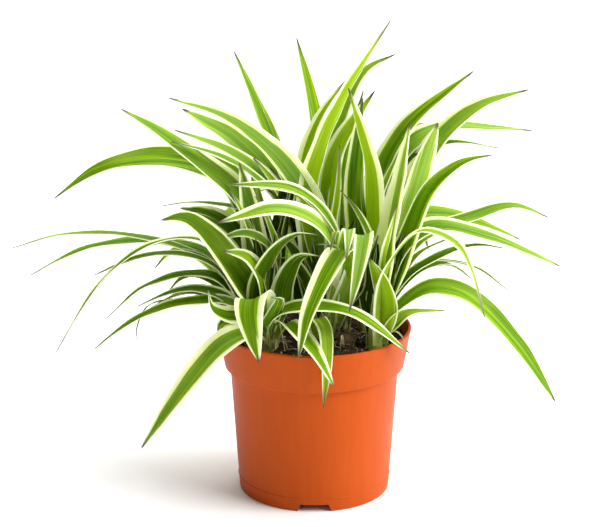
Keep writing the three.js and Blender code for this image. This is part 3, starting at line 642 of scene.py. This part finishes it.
def leaf_blade(crown, row, number, rng, look=None):
    """One leaf as a grid laid along its midrib, with what its markings are drawn from."""
    width, taper, twist, *through = row
    through = [Vector(p) for p in through]
    out = Vector((through[0].x - crown[0], through[0].y - crown[1], 0)).normalized()
    root = Vector((crown[0], crown[1], ROOT_HEIGHT)) + ROOT_RING * out
    rough_length = sum((q - p).length for p, q in zip([root] + through, through))
    count = max(FEWEST_STATIONS, round(rough_length / STATION)) + 1
    places, length = midrib([root] + through, count)
    heading = Vector((through[-1].x - root.x, through[-1].y - root.y, 0)).normalized()
    level = heading.cross(Vector((0, 0, 1)))
    fold = rng.uniform(*FOLDS)
    ripple, ripple_length = rng.uniform(*RIPPLES), rng.uniform(*RIPPLE_LENGTHS)
    ripple_start = rng.uniform(0, FULL_TURN)
    creams = (LEAST_CREAM, min(MOST_CREAM, 0.01 * width + 0.03))
    # A random lightness of green, cream widths and strength of painted sheen; a look gives all four
    # instead, with painted light and shade in its lightness.
    tone_and_painted_light, left_cream, right_cream = rng.random(), rng.uniform(*creams), rng.uniform(*creams)
    painted_sheen = rng.uniform(0, MOST_PAINTED_SHEEN)
    if look:
        tone_and_painted_light, left_cream, right_cream, painted_sheen = look

    bpy.ops.object.select_all(action="DESELECT")
    bpy.ops.mesh.primitive_grid_add(x_subdivisions=COLUMNS, y_subdivisions=count - 1, size=2)
    blade = bpy.context.object
    mesh = blade.data
    marks = {name: [] for name in MARKS}
    flat = []
    for vertex in mesh.vertices:
        side, t = vertex.co.x, (vertex.co.y + 1) / 2
        k = min(round(t * (count - 1)), count - 1)
        ahead, behind = places[min(k + 1, count - 1)], places[max(k - 1, 0)]
        along = (ahead - behind).normalized()
        across = (level - along * level.dot(along)).normalized()
        turn = math.radians(twist) * min(1, 3 * t)
        across = across * math.cos(turn) + along.cross(across) * math.sin(turn)
        up = across.cross(along)
        half = half_width(width, taper, t)
        # The fold is deepest at the foot, and the ripple dies out at both ends of the blade.
        crease = fold * half * (0.55 - 0.27 * min(1, t / 0.35) - 0.08 * t)
        phase = 2 * math.pi * t * length / ripple_length + ripple_start + 0.7 * side
        wave = ripple * math.sin(phase) * min(1, 4 * t) * min(1, 4 - 4 * t)
        lift = crease * abs(side) ** 1.3 + wave * side * abs(side)
        vertex.co = (places[k] + across * side * half + up * lift) * MM
        # The cream narrows with the blade, but not as fast.
        cream = (right_cream if side > 0 else left_cream) * (0.08 * width + 1.75 * half)
        for name, value in zip(MARKS, (
                half * (1 - abs(side)), half * side, t, tone_and_painted_light, painted_sheen, cream)):
            marks[name].append(value)
        flat.append(((half * side + UV_STEP * number) * MM, t * length * MM))
    for loop in mesh.loops:
        mesh.uv_layers[0].data[loop.index].uv = flat[loop.vertex_index]
    for name, values in marks.items():
        mesh.attributes.new(name, "FLOAT", "POINT").data.foreach_set("value", values)
    return blade


# Slender young leaves that fill the middle of the plant, rows as above. Every crown also has
# heart leaves: short, upright, bowed outwards or back, and painted a deep shade green for the
# shade that the others cast on them.
YOUNG = {
    "shoot_back": [
        (13, 3, -30, (-9, 24, 146), (-15, 22, 165), (-23, 20, 180), (-31, 18, 189)),
        (12, 3, 0, (-3, 40, 148), (-8, 44, 170), (-11, 48, 185)),
    ],
    "shoot_back_left": [
        (12, 3, -30, (-40, 26, 138), (-55, 30, 154), (-72, 34, 162)),
    ],
}
HEART_LEAVES = 6
HEART_LEANS, HEART_HEIGHTS, HEART_WIDTHS = (5, 22), (30, 75), (11, 17)
BACK_CROWN, BACK_RISE = 10, 25
# Heart leaves: painted deep shade for their lightness, and narrow cream rims or none.
HEART_PAINTED_SHADE, HEART_RIMS = -0.7, (-0.03, 0.06)


def heart_leaf(crown, rng):
    """A row for one heart leaf of a crown; those at the plant's back are taller."""
    way, lean = rng.uniform(-0.4, math.pi + 0.4), rng.uniform(*HEART_LEANS)
    height = rng.uniform(*HEART_HEIGHTS) + (BACK_RISE if crown[1] > BACK_CROWN else 0)
    through = []
    for share in (0.3, 0.65, 1):
        bow = lean * share ** 1.5
        through.append((crown[0] + bow * math.cos(way), crown[1] + bow * math.sin(way),
                        ROOT_HEIGHT + height * share))
    return (rng.uniform(*HEART_WIDTHS), 3, rng.uniform(-60, 60), *through)


def thickened(piece, thickness):
    """Gives a thin sheet its thickness in mm, half of it to each side, and smooth shading."""
    pick(piece)
    bpy.ops.object.modifier_add(type="SOLIDIFY")
    solidify = piece.modifiers[-1]
    solidify.thickness, solidify.offset = thickness * MM, 0
    bpy.ops.object.modifier_apply(modifier=solidify.name)
    bpy.ops.object.shade_smooth_by_angle(angle=math.radians(CREASE_ANGLE))


leaf_rng = random.Random(21)
heart_rng = random.Random(5)
shoots = []
for name, crown, rows in SHOOTS:
    blades = [leaf_blade(crown, row, number, leaf_rng, LOOKS[name].get(number))
              for number, row in enumerate(rows)]
    young_rows = YOUNG.get(name, []) + [heart_leaf(crown, heart_rng) for _ in range(HEART_LEAVES)]
    for number, row in enumerate(young_rows, len(rows)):
        rims = heart_rng.choice(HEART_RIMS)
        blades.append(leaf_blade(crown, row, number, heart_rng, (HEART_PAINTED_SHADE, rims, rims, 0)))
    shoot = joined(blades, name.replace("shoot", "leaves"))
    thickened(shoot, LEAF_THICKNESS)
    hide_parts(name)
    shoots.append(shoot)

# Leaf skin: waxy and finely ribbed along its length, thin enough for light to glow through.
# The green middle has paler and darker streaks, and pale threads near its edge. On top of these
# come painted light and shade, leaf by leaf, and a painted pale bluish sheen. The margins are
# cream, duller where shade is painted, the foot of the blade is pale, and its thin end is dusky.
variegated, skin = new_material("variegated_leaf_skin")
blade_map = add(variegated, "UVMap", {"uv_map": "UVMap"}, {}).outputs[0]
# The marks, with the lightness that carries painted light and shade and the strength of the painted
# sheen.
from_edge, from_midrib, along, tone_and_painted_light, painted_sheen, cream = [
    add(variegated, "Attribute", {"attribute_name": name}, {}).outputs["Fac"] for name in MARKS]

# Streaks are noise drawn out along the blade: a width and a length in mm, and a detail. The
# real veins lie about 0.3 mm apart, and the finest streaks are 0.7 mm wide so that they show.
streaks = []
for width, length, detail in ((0.7, 70, 2.0), (2.6, 110, 2.0), (16, 45, 2.0), (0.9, 160, 1.0)):
    lines = add(variegated, "Mapping", {}, {
        "Vector": blade_map, "Scale": (1 / (width * MM), 1 / (length * MM), 1)})
    streaks.append(add(variegated, "TexNoise", {}, {
        "Vector": lines.outputs[0], "Scale": 1.0, "Detail": detail}).outputs[0])
fine, broad, patches, threads = streaks

# In mm: how far inside the cream a place lies, on an edge that wanders with the broad
# streaks, how far through the cream, and how far from the midrib, with the half width there.
wander = add(variegated, "Math", {"operation": "MULTIPLY_ADD"}, {0: broad, 1: 1.5, 2: -1.75})
inside = add(variegated, "Math", {"operation": "MULTIPLY_ADD"}, {
    0: cream, 1: wander.outputs[0], 2: from_edge}).outputs[0]
some_cream = add(variegated, "Math", {"operation": "ADD"}, {0: cream, 1: 0.01})
inwards = add(variegated, "Math", {"operation": "DIVIDE"}, {
    0: from_edge, 1: some_cream.outputs[0]}).outputs[0]
off_midrib = add(variegated, "Math", {"operation": "ABSOLUTE"}, {0: from_midrib}).outputs[0]
half_here = add(variegated, "Math", {"operation": "ADD"}, {0: from_edge, 1: off_midrib}).outputs[0]

# How much of each tint shows: what it follows, where it starts and ends, its least and most.
share = {}
for name, follows, start, end, least, most in (
        ("light streak", fine, 0.33, 0.67, 0, 1),
        ("bright streak", broad, 0.5, 0.75, 0, 1),
        ("dark streak", broad, 0.48, 0.25, 0, 0.35),
        # Lightness of green: the leaf's own tone, and painted light and shade on the listed leaves;
        # below 0 a painted deep shade.
        ("dark leaf", tone_and_painted_light, 0.3, 0, 0, 0.55),
        ("painted leaf shade", tone_and_painted_light, 0, -1, 0, 0.9),
        ("light leaf", tone_and_painted_light, 0.3, 1, 0, 0.8),
        ("pale patch", patches, 0.45, 0.75, 0, 0.3),
        # A painted sheen: a pale bluish highlight on the green, along the broad streaks.
        ("painted_sheen", broad, 0.3, 0.7, 0.5, 1),
        ("young foot", along, 0.3, 0, 0, 0.55),
        ("green", inside, -0.22, 0.28, 0, 1),
        ("thread", threads, 0.63, 0.69, 0, 1),
        ("inner margin", inwards, 0.1, 1, 0, 1),
        ("margin streak", fine, 0.5, 0.7, 0, 0.5),
        ("margin foot", along, 0.28, 0, 0, 0.6),
        # Painted shade: the margins of dark leaves turn a dull olive.
        ("painted margin shade", tone_and_painted_light, 0.25, -0.5, 0, 0.65),
        ("sheath", along, 0.12, 0, 0, 0.7),
        ("dusky end", half_here, 2.4, 0.5, 0, 0.7),
        ("dry tip", along, 0.965, 0.995, 0, 1),
        # Away from painted shade: where the pale foot and sheath may show.
        ("no painted shade", tone_and_painted_light, -0.7, 0.3, 0.1, 1),
        ("near edge", from_edge, 5.5, 1.5, 0, 1),
        ("far out", along, 0.6, 0.8, 0, 1),
        ("light enough", tone_and_painted_light, 0.2, 0.5, 0.4, 1),
        ("beside midrib", off_midrib, 0, 0.7, 0, 1)):
    share[name] = add(variegated, "MapRange", {"interpolation_type": "SMOOTHSTEP"}, {
        0: follows, 1: start, 2: end, 3: least, 4: most}).outputs[0]
# Some tints show only where a mark lets them: the painted sheen by its strength, the pale foot and
# sheath away from painted shade, threads near the edge, the dusky end far out, and dry tips on
# light enough leaves.
for name, only_where in (
        ("painted_sheen", painted_sheen), ("young foot", share["no painted shade"]), ("sheath", share["no painted shade"]),
        ("thread", share["near edge"]), ("dusky end", share["far out"]),
        ("dry tip", share["light enough"])):
    share[name] = add(variegated, "Math", {"operation": "MULTIPLY"}, {
        0: share[name], 1: only_where}).outputs[0]
no_thread = add(variegated, "Math", {"operation": "SUBTRACT"}, {0: 1.0, 1: share["thread"]})
share["green"] = add(variegated, "Math", {"operation": "MULTIPLY"}, {
    0: share["green"], 1: no_thread.outputs[0]}).outputs[0]

# The tints, each laid over the ones before it: on the green, on the margin, on the whole leaf.
green, margin = linear("#527E04"), linear("#F3F5E0")
for name, tint in (
        ("light streak", "#82AE0C"), ("bright streak", "#A4C41C"), ("dark streak", "#3C6004"),
        # On this line the deepest green is painted shade; the darker and lighter greens are the
        # leaf's own tone and, on the listed leaves, painted light and shade.
        ("dark leaf", "#335606"), ("painted leaf shade", "#1A3403"), ("light leaf", "#AAC820"),
        # The pale bluish green on this line is a painted sheen.
        ("pale patch", "#B8CE48"), ("painted_sheen", "#A6CC7C"), ("young foot", "#A8C434")):
    green = add(variegated, "Mix", {"data_type": "RGBA"}, {
        0: share[name], 6: green, 7: linear(tint)}).outputs[2]
for name, tint in (
        ("inner margin", "#E4ECAC"), ("margin streak", "#F5F7E2"), ("margin foot", "#D5E092"),
        # The dull olive on this line is painted shade on the margins.
        ("painted margin shade", "#BECB70")):
    margin = add(variegated, "Mix", {"data_type": "RGBA"}, {
        0: share[name], 6: margin, 7: linear(tint)}).outputs[2]
leaf_colour = add(variegated, "Mix", {"data_type": "RGBA"}, {
    0: share["green"], 6: margin, 7: green}).outputs[2]
for name, tint in (("sheath", "#BCCF6A"), ("dusky end", "#565436"), ("dry tip", "#6E5A4C")):
    leaf_colour = add(variegated, "Mix", {"data_type": "RGBA"}, {
        0: share[name], 6: leaf_colour, 7: linear(tint)}).outputs[2]

ribs = add(variegated, "Math", {"operation": "MULTIPLY_ADD"}, {
    0: fine, 1: 0.5, 2: share["beside midrib"]}).outputs[0]
ribbed = add(variegated, "Bump", {}, {
    "Strength": 0.45, "Distance": 0.25 * MM, "Height": ribs}).outputs[0]
feed(variegated, skin, {
    "Base Color": leaf_colour, "Normal": ribbed, "Roughness": 0.45, "Specular IOR Level": 0.08})
lit_through = add(variegated, "HueSaturation", {}, {
    "Hue": 0.485, "Saturation": 1.04, "Value": 1.4, "Color": leaf_colour}).outputs[0]
glow = add(variegated, "BsdfTranslucent", {}, {"Color": lit_through, "Normal": ribbed})
leaf_shader = add(variegated, "MixShader", {}, {0: 0.4, 1: skin.outputs[0], 2: glow.outputs[0]})
feed(variegated, variegated.node_tree.nodes["Material Output"], {
    "Surface": leaf_shader.outputs[0]})

for shoot in shoots:
    shoot.data.materials.clear()
    shoot.data.materials.append(variegated)
    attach(shoot, "root")


# The crowns: six short brown rootstocks at soil level and one old stub. Each is wrapped in the
# pale, half-tubular sheaths of its outer leaves, with dry strips where leaves have died back.
ROOTSTOCK_RADIUS = 5.6
ROOTSTOCK_FOOT, ROOTSTOCK_TOP = 90, 105
ROOTSTOCK_SIDES = 28
SCAR_HEIGHTS, SCAR_DEPTH = range(91, 104), 0.45
SHEATHS, SHEATH_FOOT, SHEATH_REACHES = 5, 94, (14, 30)
SHEATH_THICKNESS, SHEATH_GRID = 0.4, (10, 14)
STRIPS, STUB_STRIPS, STRIP_FOOT = 5, 11, 97
STRIP_THICKNESS, STRIP_GRID = 0.25, (2, 12)
OLD_STUB = (19, -15)


def sheet(grid, shape):
    """A grid bent into a sheet: shape gives a place in mm for a side (-1 to 1) and a height."""
    bpy.ops.object.select_all(action="DESELECT")
    bpy.ops.mesh.primitive_grid_add(x_subdivisions=grid[0], y_subdivisions=grid[1], size=2)
    piece = bpy.context.object
    for vertex in piece.data.vertices:
        vertex.co = Vector(shape(vertex.co.x, (vertex.co.y + 1) / 2)) * MM
    return piece


def sheath_shape(x, y, size, layer, rng):
    """A sheath: it clasps the rootstock, follows the leaves up and narrows to a point."""
    turn, reach = rng.uniform(0, FULL_TURN), rng.uniform(*SHEATH_REACHES)
    wrap, flare = rng.uniform(0.8, 1.3), rng.uniform(0.2, 1.6)

    def shape(side, t):
        angle = turn + side * wrap * max(1 - t, 0.02) ** 0.7
        radius = size * (ROOTSTOCK_RADIUS + 0.3 + 0.35 * layer) * (1 - 0.12 * t) + flare * t * t
        radius += noise.noise(Vector((side * 4, t * 2, turn))) * 0.7 * t
        return (x + radius * math.cos(angle), y + radius * math.sin(angle),
                SHEATH_FOOT + reach * t)
    return shape


def strip_shape(x, y, rng):
    """A dry strip: rooted beside a crown, narrow, bent over and curled along its length."""
    turn, far = rng.uniform(0, FULL_TURN), rng.uniform(3, 7)
    lean, rise = rng.uniform(2, 15), rng.uniform(5, 22)
    droop, width, curl = rng.uniform(0.5, 1.05), rng.uniform(0.5, 1.6), rng.uniform(-2.5, 2.5)

    def shape(side, t):
        out = far + lean * t ** 1.3
        facing = turn + math.pi / 2 + curl * t
        half = side * width * (1 - 0.8 * t)
        return (x + out * math.cos(turn) + half * math.cos(facing),
                y + out * math.sin(turn) + half * math.sin(facing),
                STRIP_FOOT + rise * math.sin(math.pi * droop * t) + 0.4 * half)
    return shape


crown_rng = random.Random(31)
stocks, sheaths, strips = [], [], []
for x, y in CROWNS + [OLD_STUB]:
    old = (x, y) == OLD_STUB
    size = 1.0 if old else crown_rng.uniform(0.9, 1.08)
    scars = [(size * (ROOTSTOCK_RADIUS + SCAR_DEPTH * math.cos(h * 2.6)), h)
             for h in SCAR_HEIGHTS]
    top = [(size * 4.2, ROOTSTOCK_TOP - 1), (1, ROOTSTOCK_TOP)]
    stock = turned("rootstock", (size * 6, ROOTSTOCK_FOOT), scars + top, ROOTSTOCK_SIDES)
    for vertex in stock.data.vertices:
        rough = noise.fractal(vertex.co / (3 * MM) + Vector((x, y, 0)), 1.0, 2.0, 3)
        vertex.co += Vector((x * MM, y * MM, 0)) + vertex.co * Vector((1, 1, 0)) * 0.16 * rough
    stocks.append(stock)
    for layer in range(0 if old else SHEATHS):
        sheaths.append(sheet(SHEATH_GRID, sheath_shape(x, y, size, layer, crown_rng)))
    for _ in range(STUB_STRIPS if old else STRIPS):
        strips.append(sheet(STRIP_GRID, strip_shape(x, y, crown_rng)))
rootstocks = joined(stocks, "rootstocks")
bpy.ops.object.shade_smooth_by_angle(angle=math.radians(CREASE_ANGLE))
leaf_sheaths = joined(sheaths, "leaf_sheaths")
thickened(leaf_sheaths, SHEATH_THICKNESS)
dry_strips = joined(strips, "dry_leaf_strips")
thickened(dry_strips, STRIP_THICKNESS)

# Rootstock is corky and brown with dark scars.
cork, shader = new_material("corky_rootstock")
place = add(cork, "TexCoord", {}, {}).outputs["Object"]
grain = add(cork, "TexNoise", {}, {
    "Vector": place, "Scale": 1 / (2.5 * MM), "Detail": 6.0}).outputs[0]
brown = add(cork, "Mix", {"data_type": "RGBA"}, {
    0: grain, 6: linear("#2A1A10"), 7: linear("#8A6A4C")}).outputs[2]
corky = add(cork, "Bump", {}, {"Strength": 0.7, "Distance": 0.5 * MM, "Height": grain})
feed(cork, shader, {"Base Color": brown, "Normal": corky.outputs[0], "Roughness": 0.85})

# Sheaths are pale green and finely veined, and turn papery and brown at their tips. A sheath
# is about 13 mm round and 22 mm high, with a vein every 0.5 mm that is even for 15 mm.
SHEATH_SIZE, VEIN_SIZE = (13, 22.5), (0.5, 15)
papery, shader = new_material("pale_leaf_sheath")
place = add(papery, "UVMap", {"uv_map": "UVMap"}, {}).outputs[0]
veins = add(papery, "Mapping", {}, {"Vector": place, "Scale": (
    SHEATH_SIZE[0] / VEIN_SIZE[0], SHEATH_SIZE[1] / VEIN_SIZE[1], 1)})
veins = add(papery, "TexNoise", {}, {
    "Vector": veins.outputs[0], "Scale": 1.0, "Detail": 3.0}).outputs[0]
pale = add(papery, "Mix", {"data_type": "RGBA"}, {
    0: veins, 6: linear("#86A626"), 7: linear("#CFDB86")}).outputs[2]
height = add(papery, "SeparateXYZ", {}, {0: place}).outputs[1]
torn = add(papery, "MapRange", {}, {0: height, 1: 0.75, 2: 1.0, 3: 0.0, 4: 0.7}).outputs[0]
browned = add(papery, "Mix", {"data_type": "RGBA"}, {
    0: torn, 6: pale, 7: linear("#B89A68")}).outputs[2]
veined = add(papery, "Bump", {}, {"Strength": 0.5, "Distance": 0.3 * MM, "Height": veins})
feed(papery, shader, {
    "Base Color": browned, "Normal": veined.outputs[0], "Roughness": 0.55})

# Dry strips are straw and grey-brown in patches, and dull.
straw, shader = new_material("dry_leaf_remains")
place = add(straw, "TexCoord", {}, {}).outputs["Object"]
age = add(straw, "TexNoise", {}, {"Vector": place, "Scale": 1 / (5 * MM), "Detail": 3.0})
spread = add(straw, "MapRange", {}, {0: age.outputs[0], 1: 0.35, 2: 0.65}).outputs[0]
faded = add(straw, "Mix", {"data_type": "RGBA"}, {
    0: spread, 6: linear("#6E5636"), 7: linear("#D9D0A0")}).outputs[2]
feed(straw, shader, {"Base Color": faded, "Roughness": 0.8})
for piece, material in ((rootstocks, cork), (leaf_sheaths, papery), (dry_strips, straw)):
    piece.data.materials.clear()
    piece.data.materials.append(material)
    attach(piece, "root")


# The studio: a pale floor out to the horizon, a large soft key from the front right, a lower
# one from the right that rounds the pot, and one from above and behind that edges the leaves.
FLOOR_SIZE = 36
CAMERA_PLACE, CAMERA_PITCH = (-0.0089, -1.1488, 0.4916), 16.8
CAMERA_LENS, CAMERA_SENSOR, CAMERA_REACH = 117.3, 36, 20
AMBIENT = 0.29
bpy.ops.object.select_all(action="DESELECT")
bpy.ops.mesh.primitive_plane_add(size=FLOOR_SIZE)
floor = bpy.context.object
floor.name = "pale_floor"
paper, surface = new_material("white_paper_sweep")
feed(paper, surface, {"Base Color": linear("#FAFAFA"), "Roughness": 0.9})
floor.data.materials.append(paper)

bpy.ops.object.camera_add(
    location=CAMERA_PLACE, rotation=(math.radians(90 - CAMERA_PITCH), 0, 0))
camera = bpy.context.object
camera.data.lens = CAMERA_LENS
camera.data.sensor_width = CAMERA_SENSOR
camera.data.clip_end = CAMERA_REACH
bpy.context.scene.camera = camera

for name, strength, spread, place in (
        ("key", 3.5, 40, (1.15, -0.4, 0.95)),
        ("side", 1.6, 30, (1.2, 0.1, 0.3)),
        ("top", 3.2, 60, (0.2, 0.5, 1.1))):
    bpy.ops.object.light_add(type="SUN", location=place)
    lamp = bpy.context.object
    lamp.name = name
    lamp.data.energy = strength
    lamp.data.angle = math.radians(spread)
    lamp.rotation_euler = Vector(place).to_track_quat("Z", "Y").to_euler()

world = bpy.data.worlds.new("studio")
world.use_nodes = True
world.node_tree.nodes["Background"].inputs["Color"].default_value = linear("#FFFFFF")
world.node_tree.nodes["Background"].inputs["Strength"].default_value = AMBIENT
bpy.context.scene.world = world
bpy.context.scene.view_settings.view_transform = "Standard"
